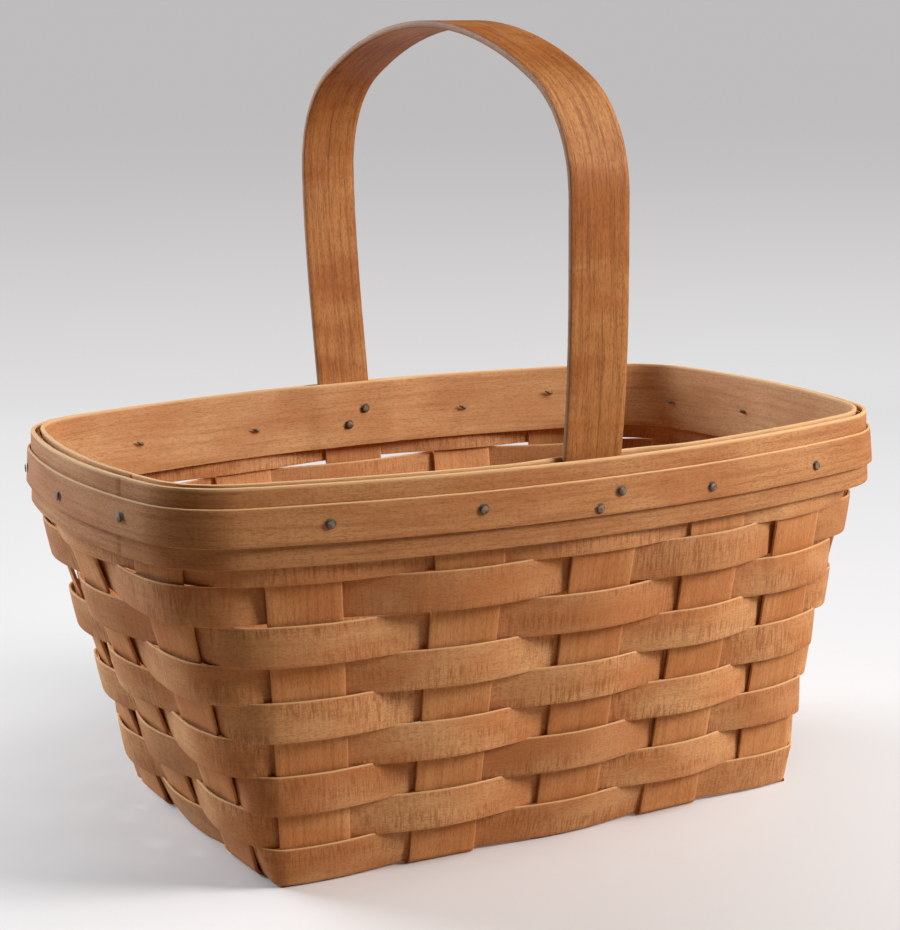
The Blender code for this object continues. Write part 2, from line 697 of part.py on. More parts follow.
def bore(piece, circles):
    """Cut the holes of one piece, each a short cylinder between two circles."""
    points = []
    faces = []
    for start in range(0, len(circles), 2):
        base = len(points)
        points += circles[start] + circles[start + 1]
        for step in range(HOLE_SIDES):
            after = (step + 1) % HOLE_SIDES
            faces.append((base + step, base + after, base + HOLE_SIDES + after, base + HOLE_SIDES + step))
        faces.append(tuple(base + step for step in reversed(range(HOLE_SIDES))))
        faces.append(tuple(base + HOLE_SIDES + step for step in range(HOLE_SIDES)))
    mesh = bpy.data.meshes.new(piece.name + "_holes")
    mesh.from_pydata(points, [], faces)
    mesh.update()
    first = mesh.polygons[0]
    middle = sum((point for point in (circles[0] + circles[1])), Vector()) / (2 * HOLE_SIDES)
    if first.normal.dot(Vector(first.center) - middle) < 0.0:
        mesh.flip_normals()
    cutter = bpy.data.objects.new(piece.name + "_holes", mesh)
    cutter.hide_render = True
    cutter.display_type = "WIRE"
    bpy.context.collection.objects.link(cutter)
    modifier = piece.modifiers.new("tack_holes", "BOOLEAN")
    modifier.operation = "DIFFERENCE"
    modifier.solver = "EXACT"
    modifier.object = cutter


def build():
    clear_scene()
    tan = principled("tan_splint", WOOD_TAN, 0.6)
    orange = principled("orange_splint", WOOD_ORANGE, 0.55)
    pale = principled("pale_splint", WOOD_PALE, 0.62)
    steel = principled("tack_steel", STEEL_GREY, 0.45, 1.0)
    pieces = {}
    for index in range(len(CROSSWISE_AT_BASE)):
        name = "crosswise_upright_{}".format(index + 1)
        pieces[name] = upright(name, True, index, orange)
    for index in range(len(LENGTHWISE_AT_BASE)):
        name = "lengthwise_upright_{}".format(index + 1)
        pieces[name] = upright(name, False, index, orange)
    for row in range(len(ROWS)):
        name = "weaver_row_{}".format(row + 1)
        lap_crossing = (3 * row + 7) % len(CROSSINGS)
        pieces[name] = weaver(name, row, lap_crossing, tan if row % 2 else pale)
    for band in rim_bands(tan):
        pieces[band.name] = band
    pieces["handle"] = handle(orange)
    tacks_and_holes(pieces, steel)


build()
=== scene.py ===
import json
import math

import bpy
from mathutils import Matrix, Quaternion, Vector, noise

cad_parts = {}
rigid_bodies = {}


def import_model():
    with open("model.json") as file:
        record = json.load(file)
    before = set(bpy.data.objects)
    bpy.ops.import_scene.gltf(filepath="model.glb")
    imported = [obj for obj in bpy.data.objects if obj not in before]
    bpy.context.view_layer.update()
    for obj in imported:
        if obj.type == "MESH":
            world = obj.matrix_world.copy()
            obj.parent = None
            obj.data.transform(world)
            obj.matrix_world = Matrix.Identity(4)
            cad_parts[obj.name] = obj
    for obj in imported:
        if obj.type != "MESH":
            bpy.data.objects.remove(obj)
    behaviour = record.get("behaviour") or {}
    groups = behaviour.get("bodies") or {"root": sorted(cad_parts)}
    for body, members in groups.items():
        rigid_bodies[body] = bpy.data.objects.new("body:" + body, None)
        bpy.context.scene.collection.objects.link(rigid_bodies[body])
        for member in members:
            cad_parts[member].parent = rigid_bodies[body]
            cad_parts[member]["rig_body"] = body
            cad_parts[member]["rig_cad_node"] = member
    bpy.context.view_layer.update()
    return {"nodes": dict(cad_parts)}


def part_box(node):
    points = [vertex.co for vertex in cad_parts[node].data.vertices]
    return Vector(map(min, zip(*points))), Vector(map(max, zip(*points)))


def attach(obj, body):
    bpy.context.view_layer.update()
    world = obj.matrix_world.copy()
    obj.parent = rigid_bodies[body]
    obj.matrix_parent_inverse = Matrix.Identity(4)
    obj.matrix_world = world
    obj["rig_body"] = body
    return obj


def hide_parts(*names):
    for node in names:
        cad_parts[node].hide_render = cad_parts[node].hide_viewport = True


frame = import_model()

# Upright splints
# Eight flat strips of thin hardwood, each down one wall, under the base and up the wall opposite. They
# are woven over and under each other in the base, soaked, and folded up at its edges to make the walls.
MM = 0.001
UPRIGHT_WIDTH = 25.0 * MM
UPRIGHT_THICKNESS = 1.2 * MM
UPRIGHT_BELOW_RIM = 1.5 * MM
SIDE_FOLD = 2.0 * MM
END_FOLD = 3.0 * MM
LAYER_GAP = 0.3 * MM
CROSSING_MARGIN = 0.6 * MM
BASE_HALF = (107.0 * MM, 70.0 * MM)
BASE_BOW = (1300.0 * MM, 3000.0 * MM)
BASE_CORNER = 4.0 * MM
RIM_HALF = (147.7 * MM, 96.7 * MM)
RIM_BOW = (406.0 * MM, 258.0 * MM)
RIM_CORNER = 31.0 * MM
RIM_SPLAY = 1.8 * MM
KNEE_BELOW_BAND = 5.0 * MM
CORNER_DRAW = 3.6 * MM
OPPOSITE_DRAW = 0.5
CORNER_REACH = 30.0 * MM
DRAWN_FROM = 45.0 * MM
DRAWN_BELOW_RIM = 8.0 * MM
DRAW_FADE = 30.0 * MM
CROSSWISE_AT_BASE = tuple(x * MM for x in (-92.0, -45.5, 3.0, 49.0, 92.5))
CROSSWISE_AT_RIM = tuple(x * MM for x in (-102.0, -46.0, 5.0, 54.0, 96.5))
LENGTHWISE_AT_BASE = tuple(y * MM for y in (-39.5, 1.0, 41.0))
LENGTHWISE_AT_RIM = tuple(y * MM for y in (-55.0, 4.0, 57.0))
BAND_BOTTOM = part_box("outer_band")[0].z
RIM_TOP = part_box("outer_band")[1].z
KNEE = BAND_BOTTOM - KNEE_BELOW_BAND
KNEE_FLARE = 1.0 - RIM_SPLAY / (RIM_HALF[0] - BASE_HALF[0])
SIDES = ("front", "right", "back", "left")
HALVINGS = 40
UPRIGHT_STEP = 1.6 * MM
FOLD_STEPS = 8
ACROSS_STEPS = 10
ON_STATION = 0.001
EASED_EDGE = 0.22 * MM
EDGE_SEGMENTS = 2
WIDEST_EASE = 0.45
RAGGED_EDGE = 0.12 * MM
SMOOTH_ANGLE = math.radians(35.0)
PIECE_SHIFT = 0.37
CROSSWISE_GRAIN = 10
LENGTHWISE_GRAIN = 20

# The wander of a cut edge: waves per metre, the step from one piece to the next, and its share
EDGE_WANDERS = ((150.0, 7.3, 0.7), (620.0, 3.1, 0.3))


def blend(start, end, share):
    return start + (end - start) * share


def ease(share):
    """Smooth step from 0 to 1."""
    share = min(max(share, 0.0), 1.0)
    return share * share * (3.0 - 2.0 * share)


class Outline:
    """The wall's outline at one height: two bowed sides, two bowed ends and four round corners.

    Lengths run anticlockwise from the middle of the front side.
    """

    def __init__(self, half_length, half_width, side_curve, end_curve, corner):
        side_radius = 1.0 / side_curve
        end_radius = 1.0 / end_curve
        side_centre = Vector((0.0, half_width - side_radius))
        end_centre = Vector((half_length - end_radius, 0.0))
        to_side = side_radius - corner
        to_end = end_radius - corner
        across = end_centre - side_centre
        reach = across.length
        along = (to_side ** 2 - to_end ** 2 + reach ** 2) / (2.0 * reach)
        off = math.sqrt(to_side ** 2 - along ** 2)
        unit = across / reach
        centre = side_centre + unit * along + Vector((unit.y, -unit.x)) * off
        from_side = centre - side_centre
        from_end = centre - end_centre
        steep = math.atan2(from_side.y, from_side.x)
        shallow = math.atan2(from_end.y, from_end.x)
        half_turn = math.pi
        self.arcs = [
            (0.0, -side_centre.y, side_radius, -half_turn / 2.0, -steep),
            (centre.x, -centre.y, corner, -steep, -shallow),
            (end_centre.x, 0.0, end_radius, -shallow, shallow),
            (centre.x, centre.y, corner, shallow, steep),
            (0.0, side_centre.y, side_radius, steep, half_turn - steep),
            (-centre.x, centre.y, corner, half_turn - steep, half_turn - shallow),
            (-end_centre.x, 0.0, end_radius, half_turn - shallow, half_turn + shallow),
            (-centre.x, -centre.y, corner, half_turn + shallow, half_turn + steep),
            (0.0, -side_centre.y, side_radius, half_turn + steep, 1.5 * half_turn),
        ]
        self.around = sum(radius * (end - start) for _, _, radius, start, end in self.arcs)
        middle = (steep + shallow) / 2.0
        self.corner = Vector((centre.x, -centre.y)) + Vector((math.cos(middle), -math.sin(middle))) * corner

    def at(self, length):
        """Point and outward direction at a length along the outline."""
        length = length % self.around
        for x, y, radius, start, end in self.arcs:
            run = radius * (end - start)
            if length <= run:
                break
            length -= run
        angle = min(start + length / radius, end)
        outward = Vector((math.cos(angle), math.sin(angle)))
        return Vector((x, y)) + outward * radius, outward

    def length_to(self, side, place):
        """Length at which the outline passes a place on one side: X on the long sides, Y on the ends."""
        quarter = SIDES.index(side)
        low = (quarter - 1) * self.around / 4.0
        high = (quarter + 1) * self.around / 4.0
        rising = 1.0 if quarter < 2 else -1.0
        for _ in range(HALVINGS):
            middle = (low + high) / 2.0
            if (self.at(middle)[0][quarter % 2] - place) * rising < 0.0:
                low = middle
            else:
                high = middle
        return (low + high) / 2.0


def flare(height):
    """Share of the way from the base outline to the rim outline."""
    if height < KNEE:
        return KNEE_FLARE * height / KNEE
    return blend(KNEE_FLARE, 1.0, (height - KNEE) / (RIM_TOP - KNEE))


walls = {}


def wall(height):
    """Outline of the middle of the uprights at one height."""
    key = round(height, 7)
    if key not in walls:
        share = flare(height)
        halves = [blend(base, rim, share) for base, rim in zip(BASE_HALF, RIM_HALF)]
        curves = [blend(1.0 / base, 1.0 / rim, share) for base, rim in zip(BASE_BOW, RIM_BOW)]
        walls[key] = Outline(*halves, *curves, blend(BASE_CORNER, RIM_CORNER, share))
    return walls[key]


def drawn_in(point, height):
    """How far the weaving has drawn the wall in at its front right corner, and less at the one opposite."""
    corner = wall(height).corner
    near = math.exp(-((point - corner).length / CORNER_REACH) ** 2)
    opposite = math.exp(-((point + corner).length / CORNER_REACH) ** 2)
    body = ease(height / DRAWN_FROM) * ease((RIM_TOP - DRAWN_BELOW_RIM - height) / DRAW_FADE)
    return CORNER_DRAW * body * (near + OPPOSITE_DRAW * opposite)


def upright_place(side, index, height):
    """Place of an upright's middle along its side at one height."""
    if side in ("front", "back"):
        return blend(CROSSWISE_AT_BASE[index], CROSSWISE_AT_RIM[index], flare(height))
    return blend(LENGTHWISE_AT_BASE[index], LENGTHWISE_AT_RIM[index], flare(height))


def plank(name, width, thickness, steps, edge):
    """A flat strip of unit length, its edges eased."""
    bpy.ops.object.select_all(action="DESELECT")
    bpy.ops.mesh.primitive_grid_add(x_subdivisions=steps, y_subdivisions=ACROSS_STEPS, size=1.0)
    strip = bpy.context.object
    strip.name = name
    strip.data.name = name
    bpy.ops.object.mode_set(mode="EDIT")
    bpy.ops.mesh.select_all(action="SELECT")
    bpy.ops.transform.resize(value=(1.0, width, 1.0))
    bpy.ops.object.mode_set(mode="OBJECT")
    bpy.ops.object.modifier_add(type="SOLIDIFY")
    strip.modifiers[-1].thickness = thickness
    strip.modifiers[-1].offset = 0.0
    bpy.ops.object.modifier_apply(modifier=strip.modifiers[-1].name)
    bpy.ops.object.modifier_add(type="BEVEL")
    strip.modifiers[-1].width = edge
    strip.modifiers[-1].segments = EDGE_SEGMENTS
    strip.modifiers[-1].limit_method = "ANGLE"
    bpy.ops.object.modifier_apply(modifier=strip.modifiers[-1].name)
    return strip


def splint(name, width, thickness, stations, number, edge=EASED_EDGE, ragged=RAGGED_EDGE):
    """A strip cut flat and then bent through its stations.

    A station gives the inner and the outer face of the strip at a place across it. The strip's own flat
    places stay on it as the attribute that its grain follows, and its number sets that grain apart.
    """
    count = len(stations) - 1
    strip = plank(name, width, thickness, count, min(edge, thickness * WIDEST_EASE))
    middles = [sum(station(0.0), Vector()) / 2.0 for station in stations]
    runs = [0.0]
    for here, there in zip(middles, middles[1:]):
        runs.append(runs[-1] + (there - here).length)
    grain = strip.data.attributes.new("flat", "FLOAT_VECTOR", "POINT")
    known = {}

    def faces(station, across):
        key = (station, round(across, 8))
        if key not in known:
            known[key] = stations[station](across)
        return known[key]

    for vertex in strip.data.vertices:
        x, y, z = vertex.co
        place = (x + 0.5) * count
        first = round(place) if abs(place - round(place)) < ON_STATION else int(place)
        share = place - first if first < count else 0.0
        run = runs[first] if share < ON_STATION else blend(runs[first], runs[first + 1], share)
        grain.data[vertex.index].vector = (run, y, z + number * PIECE_SHIFT)
        side = 2.0 * y / width
        wander = sum(noise.noise(Vector((run * waves, number * apart, side))) * part
                     for waves, apart, part in EDGE_WANDERS)
        y += ragged * side ** 5 * wander
        inner, outer = faces(first, y)
        if share > ON_STATION:
            next_inner, next_outer = faces(first + 1, y)
            inner = inner.lerp(next_inner, share)
            outer = outer.lerp(next_outer, share)
        vertex.co = inner.lerp(outer, z / thickness + 0.5)
    strip.data.update()
    bpy.ops.object.select_all(action="DESELECT")
    strip.select_set(True)
    bpy.context.view_layer.objects.active = strip
    bpy.ops.object.mode_set(mode="EDIT")
    bpy.ops.mesh.select_all(action="SELECT")
    bpy.ops.mesh.normals_make_consistent(inside=False)
    bpy.ops.object.mode_set(mode="OBJECT")
    bpy.ops.object.shade_smooth_by_angle(angle=SMOOTH_ANGLE)
    return strip


class Value:
    """A number or colour that varies over a surface. Arithmetic on numbers adds the Math nodes."""

    def __init__(self, finish, socket):
        self.finish = finish
        self.socket = socket

    def math(self, operation, *terms):
        return self.finish.node("ShaderNodeMath", {"operation": operation}, dict(enumerate(terms)))

    def __add__(self, other):
        return self.math("ADD", self, other)

    def __radd__(self, other):
        return self.math("ADD", other, self)

    def __sub__(self, other):
        return self.math("SUBTRACT", self, other)

    def __rsub__(self, other):
        return self.math("SUBTRACT", other, self)

    def __mul__(self, other):
        return self.math("MULTIPLY", self, other)

    def __rmul__(self, other):
        return self.math("MULTIPLY", other, self)

    def __truediv__(self, other):
        return self.math("DIVIDE", self, other)

    def __rtruediv__(self, other):
        return self.math("DIVIDE", other, self)

    def size(self):
        return self.math("ABSOLUTE", self)

    def larger(self, other):
        return self.math("MAXIMUM", self, other)

    def rise(self, start, end):
        """Smooth step from 0 at the start to 1 at the end."""
        return self.finish.node("ShaderNodeMapRange", {"interpolation_type": "SMOOTHSTEP"},
                                {"Value": self, "From Min": start, "From Max": end})


class Finish:
    """One surface finish: a material and the nodes that make it."""

    def __init__(self, name):
        self.material = bpy.data.materials.new(name)
        self.material.use_nodes = True
        self.tree = self.material.node_tree
        self.shader = self.tree.nodes["Principled BSDF"]

    def feed(self, socket, value):
        if isinstance(value, Value):
            self.tree.links.new(value.socket, socket)
        else:
            socket.default_value = value

    def node(self, kind, settings, inputs, output=0):
        """Add a node with its settings, then the values or links of its sockets."""
        made = self.tree.nodes.new(kind)
        for name, value in settings.items():
            setattr(made, name, value)
        for key, value in inputs.items():
            self.feed(made.inputs[key], value)
        return Value(self, made.outputs[output])

    def mix(self, share, first, second):
        return self.node("ShaderNodeMix", {"data_type": "RGBA"}, {0: share, 6: first, 7: second}, 2)

    def cloud(self, where, scale, detail, roughness=0.5):
        """Noise stretched by a scale of its own along each direction."""
        place = self.node("ShaderNodeVectorMath", {"operation": "MULTIPLY"}, {0: where, 1: scale})
        return self.node("ShaderNodeTexNoise", {}, {"Vector": place, "Scale": 1.0, "Detail": detail,
                                                    "Roughness": roughness})

    def surface(self, **values):
        for name, value in values.items():
            self.feed(self.shader.inputs[name.replace("_", " ")], value)


# Repeats per metre: the clouds of tone by X, Y and Z, and every other mark along the strip, across it and
# through it, where the piece's number counts too
TONES = (26.0, 26.0, 60.0)
PIECE_TONES = (0.0, 0.0, 3.1)
STREAKS = (24.0, 640.0, 300.0)
FIBRES_ALONG = 240.0
FIBRES_ACROSS = (2300.0, 900.0)
KNIFE_BARS = (1150.0, 140.0, 70.0)
KNIFE_PATCHES = (30.0, 120.0, 40.0)
MOTTLE = (640.0, 1500.0, 300.0)

# The levels of its noise between which each mark comes up
TONES_RISE = (0.32, 0.68)
PIECES_RISE = (0.30, 0.70)
STREAKS_RISE = (0.42, 0.74)
PORES_RISE = (0.54, 0.68)
BARS_RISE = (0.42, 0.64)
PATCHES_RISE = (0.38, 0.64)
MOTTLE_RISE = (0.46, 0.66)

# How dark the marks are that all the wood has, and how much of the relief each mark makes
PIECE_DEPTH = 0.40
MOTTLE_DEPTH = 0.40
CHATTER_EVERYWHERE = 0.3
STREAK_RIDGE = 0.6
BARS_RIDGE = 0.15
PORE_PIT = 0.5
FIBRE_RIDGE = 0.25
MOTTLE_RIDGE = 0.5
WOOD_RELIEF = 0.07 * MM

# Where the edge's colour starts and where it is full, as shares of the strip's half width: along one edge, a
# hoop's upper one, it is a painted highlight, and along both it is the paler cut edge
HIGHLIGHT_EDGE = (0.90, 0.985)
BOTH_EDGES = (0.95, 0.998)
# The paler colour of a cut edge, which is also the painted highlight along a strip's upper edge
PALE_EDGE_AND_HIGHLIGHT = (0.80, 0.50, 0.25, 1.0)
STREAK_DULLNESS = 0.16
DRY_SHEEN = 0.2


def wood(name, body, pale, deep, half_width, grain, chatter, pores, relief=WOOD_RELIEF, rough=0.58,
         top_highlight=0.75, sides=0.15, edge=PALE_EDGE_AND_HIGHLIGHT, fibres_along=FIBRES_ALONG):
    """Aged bare hardwood: clouds of tone, streaks and pores along the strip, and the knife's chatter.

    top_highlight is how strong the painted highlight is along one edge, which is a hoop's upper one, and
    sides how strong the edge's colour is along both: a paler cut edge, or painted shade on the handle.
    """
    finish = Finish(name)
    flat = finish.node("ShaderNodeAttribute", {"attribute_name": "flat"}, {}, 1)
    across = finish.node("ShaderNodeSeparateXYZ", {}, {0: flat}, 1)
    where = finish.node("ShaderNodeTexCoord", {}, {}, 3)
    tone = finish.cloud(where, TONES, 3.0)
    piece = finish.cloud(flat, PIECE_TONES, 0.0)
    streak = finish.cloud(flat, STREAKS, 4.0, 0.65)
    fibre = finish.cloud(flat, (fibres_along, *FIBRES_ACROSS), 3.0, 0.65)
    bars = finish.cloud(flat, KNIFE_BARS, 3.0, 0.75)
    mottle = finish.cloud(flat, MOTTLE, 3.0, 0.7)
    patch = finish.cloud(flat, KNIFE_PATCHES, 2.0).rise(*PATCHES_RISE)
    pore = fibre.rise(*PORES_RISE)
    chatter_marks = bars.rise(*BARS_RISE) * (patch * chatter + chatter * CHATTER_EVERYWHERE)
    colour = finish.mix(tone.rise(*TONES_RISE), body, pale)
    colour = finish.mix(piece.rise(*PIECES_RISE) * PIECE_DEPTH, colour, deep)
    colour = finish.mix(streak.rise(*STREAKS_RISE) * grain, colour, deep)
    colour = finish.mix(mottle.rise(*MOTTLE_RISE) * MOTTLE_DEPTH, colour, deep)
    colour = finish.mix(chatter_marks, colour, deep)
    colour = finish.mix(pore * pores, colour, deep)
    # Painted highlight along the upper edge, and the edge's colour along both edges
    top = across.rise(half_width * HIGHLIGHT_EDGE[0], half_width * HIGHLIGHT_EDGE[1])
    rim = across.size().rise(half_width * BOTH_EDGES[0], half_width * BOTH_EDGES[1])
    colour = finish.mix(top * top_highlight + rim * sides, colour, edge)
    height = streak * STREAK_RIDGE + bars * (patch * chatter + BARS_RIDGE) - pore * PORE_PIT
    height = height + fibre * FIBRE_RIDGE + mottle * MOTTLE_RIDGE
    bump = finish.node("ShaderNodeBump", {}, {"Strength": 1.0, "Distance": relief, "Height": height})
    finish.surface(Base_Color=colour, Roughness=rough + streak * STREAK_DULLNESS, Normal=bump,
                   Specular_IOR_Level=DRY_SHEEN)
    return finish.material


def crossing_levels(crosswise, index):
    """Where an upright lies low or high in the base, from fold to fold."""
    places = LENGTHWISE_AT_BASE if crosswise else CROSSWISE_AT_BASE
    reach = BASE_HALF[1] - SIDE_FOLD if crosswise else BASE_HALF[0] - END_FOLD
    low = UPRIGHT_THICKNESS / 2.0
    high = low + UPRIGHT_THICKNESS + LAYER_GAP
    half = UPRIGHT_WIDTH / 2.0 + CROSSING_MARGIN
    knots = []
    for other, place in enumerate(places):
        over = ((index + other) % 2 == 0) == crosswise
        knots += [(place - half, high if over else low), (place + half, high if over else low)]
    first = knots[0][1] if knots[0][0] < -reach else low
    last = knots[-1][1] if knots[-1][0] > reach else low
    inner = [knot for knot in knots if abs(knot[0]) < reach - CROSSING_MARGIN]
    return [(-reach, first)] + inner + [(reach, last)]


def wall_station(side, index, height, turn=0.0):
    """An upright on the wall, or part way round its fold into the base."""
    outline = wall(height)
    middle = outline.length_to(side, upright_place(side, index, height))
    onward = 1.0 if side in ("front", "right") else -1.0
    fold = SIDE_FOLD if side in ("front", "back") else END_FOLD

    def faces(across):
        point, outward = outline.at(middle + onward * across)
        point -= outward * drawn_in(point, height)
        away = Vector((outward.x * math.cos(turn), outward.y * math.cos(turn), -math.sin(turn)))
        pivot = point - outward * fold
        centre = Vector((pivot.x, pivot.y, height)) + away * fold
        return centre - away * (UPRIGHT_THICKNESS / 2.0), centre + away * (UPRIGHT_THICKNESS / 2.0)

    return faces


def base_station(crosswise, middle, place, level):
    """An upright in the base, its outer face down."""
    def faces(across):
        x, y = (middle + across, place) if crosswise else (place, middle + across)
        half = UPRIGHT_THICKNESS / 2.0
        return Vector((x, y, level + half)), Vector((x, y, level - half))

    return faces


def upright_stations(crosswise, index):
    """Stations of one upright from rim to rim."""
    knots = crossing_levels(crosswise, index)
    middle = (CROSSWISE_AT_BASE if crosswise else LENGTHWISE_AT_BASE)[index]
    near_side, far_side = ("front", "back") if crosswise else ("left", "right")
    walls_up = []
    for side, level in ((near_side, knots[0][1]), (far_side, knots[-1][1])):
        foot = level + (SIDE_FOLD if crosswise else END_FOLD)
        top = RIM_TOP - UPRIGHT_BELOW_RIM
        steps = round((top - foot) / UPRIGHT_STEP)
        rising = [wall_station(side, index, foot, math.pi / 2.0 * (1.0 - step / FOLD_STEPS))
                  for step in range(FOLD_STEPS)]
        rising += [wall_station(side, index, blend(foot, top, step / steps)) for step in range(steps + 1)]
        walls_up.append(rising)
    base = []
    for (start, low), (end, high) in zip(knots, knots[1:]):
        steps = max(1, round((end - start) / UPRIGHT_STEP))
        for step in range(steps):
            share = step / steps
            height = blend(low, high, ease(share))
            base.append(base_station(crosswise, middle, blend(start, end, share), height))
    return walls_up[0][::-1] + base[1:] + walls_up[1]


upright_wood = wood("upright_wood", body=(0.60, 0.245, 0.085, 1.0), pale=(0.72, 0.36, 0.145, 1.0),
                    deep=(0.37, 0.104, 0.026, 1.0), half_width=UPRIGHT_WIDTH / 2.0, grain=0.45,
                    chatter=0.06, pores=0.35, top_highlight=0.12)
for direction, count, first_grain in (("crosswise", len(CROSSWISE_AT_BASE), CROSSWISE_GRAIN),
                                      ("lengthwise", len(LENGTHWISE_AT_BASE), LENGTHWISE_GRAIN)):
    for index in range(count):
        node = "{}_upright_{}".format(direction, index + 1)
        upright = splint("splint_" + node, UPRIGHT_WIDTH, UPRIGHT_THICKNESS,
                         upright_stations(direction == "crosswise", index), first_grain + index)
        upright.data.materials.append(upright_wood)
        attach(upright, "root")
        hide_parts(node)

# Weavers
# Nine rows of narrower, thinner strip, each woven once round the walls, outside one upright and inside
# the next. A row's two ends are thinned and lapped inside an upright, and each row sits on the one below.
WEAVER_WIDTH = 13.9 * MM
WEAVER_SPREAD = 0.5 * MM
WEAVER_THICKNESS = 0.9 * MM
WEAVER_TILT = 1.6 * MM
WEAVER_SWING = 1.95 * MM
TILT_SWING = 0.8
WEAVER_CROWN = 0.15 * MM
WEAVER_WANDER = 0.15 * MM
WANDERS_PER_METRE = 22.0
WANDER_APART = 5.7
WEAVER_GRAIN = 30
FIRST_ROW_RISE = 1.0 * MM
TOP_ROW_BACK_LIFT = 0.9 * MM
FIRST_LAP = 7
LAPS_APART = 3
LAP_TIP = 0.2 * MM
LAP_GAP = 0.3 * MM
WEAVER_STEP = 1.9 * MM
STEPS_OVER_UPRIGHT = 14
CROSSINGS = ([("front", index) for index in range(5)] + [("right", index) for index in range(3)]
             + [("back", index) for index in (4, 3, 2, 1, 0)] + [("left", index) for index in (2, 1, 0)])


def crossing_lengths(height):
    """Length along the outline of each upright, the last one repeated a full turn on."""
    outline = wall(height)
    lengths = [outline.length_to(side, upright_place(side, index, height)) for side, index in CROSSINGS]
    return lengths + [lengths[0] + outline.around]


def hoop_places(bottom, top):
    """Places round a hoop, upright by upright and gap by gap.

    Each has its crossing, the share of the gap passed, the phase from upright to upright, and the length
    along the outline at the hoop's lower and upper edge.
    """
    low = crossing_lengths(bottom)
    high = crossing_lengths(top)
    half = UPRIGHT_WIDTH / 2.0 + CROSSING_MARGIN
    places = []
    for crossing in range(len(CROSSINGS)):
        onward = low[crossing + 1] - low[crossing]
        for step in range(STEPS_OVER_UPRIGHT):
            offset = half * (2.0 * step / STEPS_OVER_UPRIGHT - 1.0)
            places.append((crossing, 0.0, offset / onward, low[crossing] + offset, high[crossing] + offset))
        steps = round((onward - 2.0 * half) / WEAVER_STEP)
        for step in range(steps):
            share = step / steps
            places.append((crossing, share, blend(half, onward - half, share) / onward,
                           blend(low[crossing] + half, low[crossing + 1] - half, share),
                           blend(high[crossing] + half, high[crossing + 1] - half, share)))
    return places


def hoop_station(foot, head, heights, depths, thickness, away, crown=0.0):
    """A hoop between its two edges, with the depth of its middle at each; away is the side it faces."""
    def faces(across, width, near, far):
        share = across / width + 0.5
        point = foot[0].lerp(head[0], share)
        outward = foot[1].lerp(head[1], share)
        face = blend(depths[0], depths[1], share) - away * thickness / 2.0
        face += crown * (1.0 - (2.0 * share - 1.0) ** 2)
        inner, outer = sorted((face + away * near, face + away * far))
        height = blend(heights[0], heights[1], share)
        return Vector((*(point + outward * inner), height)), Vector((*(point + outward * outer), height))

    return faces


def lapped(stations, width, thickness, first, last, outer_end_first):
    """Stations of a hoop opened at one place, its thinned ends laid over each other from first to last."""
    count = len(stations)
    chain = []
    for order in range(count + last - first + 1):
        near, far = 0.0, thickness
        start_pass = order <= last - first
        if start_pass or order >= count:
            share = (order % count) / (last - first)
            thick_end = thickness - LAP_GAP - LAP_TIP
            under = blend(thick_end, LAP_TIP, share) if outer_end_first else blend(LAP_TIP, thick_end, share)
            if start_pass == outer_end_first:
                near = under + LAP_GAP
            else:
                far = under

        def faces(across, station=stations[(first + order) % count], near=near, far=far):
            return station(across, width, near, far)

        chain.append(faces)
    return chain


def tuck(height, outward):
    """How far the fold has drawn an upright's outer face in from the wall at one height."""
    radius = blend(SIDE_FOLD, END_FOLD, outward.x ** 2) + UPRIGHT_THICKNESS / 2.0
    below = max(0.0, radius - height)
    return radius - math.sqrt(radius ** 2 - below ** 2)


def weaver_stations(row, bottom):
    """Stations of one row, its two ends lapped at an upright of its own."""
    top = bottom + WEAVER_WIDTH
    tilt = WEAVER_TILT * min(1.0, max(0.0, (KNEE - bottom) / WEAVER_WIDTH)) if row > 0 else 0.0
    low_around = wall(bottom).around
    high_around = wall(top).around
    lap_crossing = (LAPS_APART * row + FIRST_LAP) % len(CROSSINGS)
    stations = []
    lap = None
    for number, (crossing, _, phase, low, high) in enumerate(hoop_places(bottom, top)):
        outside = 1.0 if (crossing + row) % 2 == 0 else -1.0
        swing = outside * math.cos(math.pi * phase)
        middle = swing * (WEAVER_SWING + tilt * TILT_SWING)
        middle += WEAVER_WANDER * noise.noise(Vector((low * WANDERS_PER_METRE, row * WANDER_APART, 0.0)))
        rise = FIRST_ROW_RISE * (1.0 - swing) / 2.0 if row == 0 else 0.0
        if row == WEAVER_ROWS - 1:
            rise = TOP_ROW_BACK_LIFT * ease(wall(bottom).at(low)[0].y / BASE_HALF[1])
        lower = wall(bottom + round(rise, 5))
        upper = wall(top + round(rise, 5))
        foot, foot_out = lower.at(low * lower.around / low_around)
        head, head_out = upper.at(high * upper.around / high_around)
        foot -= foot_out * drawn_in(foot, bottom)
        head -= head_out * drawn_in(head, top)
        depths = (middle + tilt / 2.0 - tuck(bottom + rise, foot_out), middle - tilt / 2.0)
        stations.append(hoop_station((foot, foot_out), (head, head_out), (bottom + rise, top + rise), depths,
                                     WEAVER_THICKNESS, outside, WEAVER_CROWN))
        if crossing == lap_crossing and lap is None:
            lap = number
    return lapped(stations, WEAVER_WIDTH, WEAVER_THICKNESS, lap, lap + STEPS_OVER_UPRIGHT, False)


WEAVER_ROWS = sum(name.startswith("weaver_row_") for name in frame["nodes"])
weaver_wood = wood("weaver_wood", body=(0.62, 0.260, 0.097, 1.0), pale=(0.78, 0.43, 0.195, 1.0),
                   deep=(0.33, 0.104, 0.030, 1.0), half_width=WEAVER_WIDTH / 2.0, grain=0.20,
                   chatter=0.55, pores=0.15, top_highlight=0.65)
for row in range(WEAVER_ROWS):
    node = "weaver_row_{}".format(row + 1)
    weaver = splint("splint_" + node, WEAVER_WIDTH, WEAVER_THICKNESS,
                    weaver_stations(row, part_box(node)[0].z - WEAVER_SPREAD), WEAVER_GRAIN + row)
    weaver.data.materials.append(weaver_wood)
    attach(weaver, "root")
    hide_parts(node)

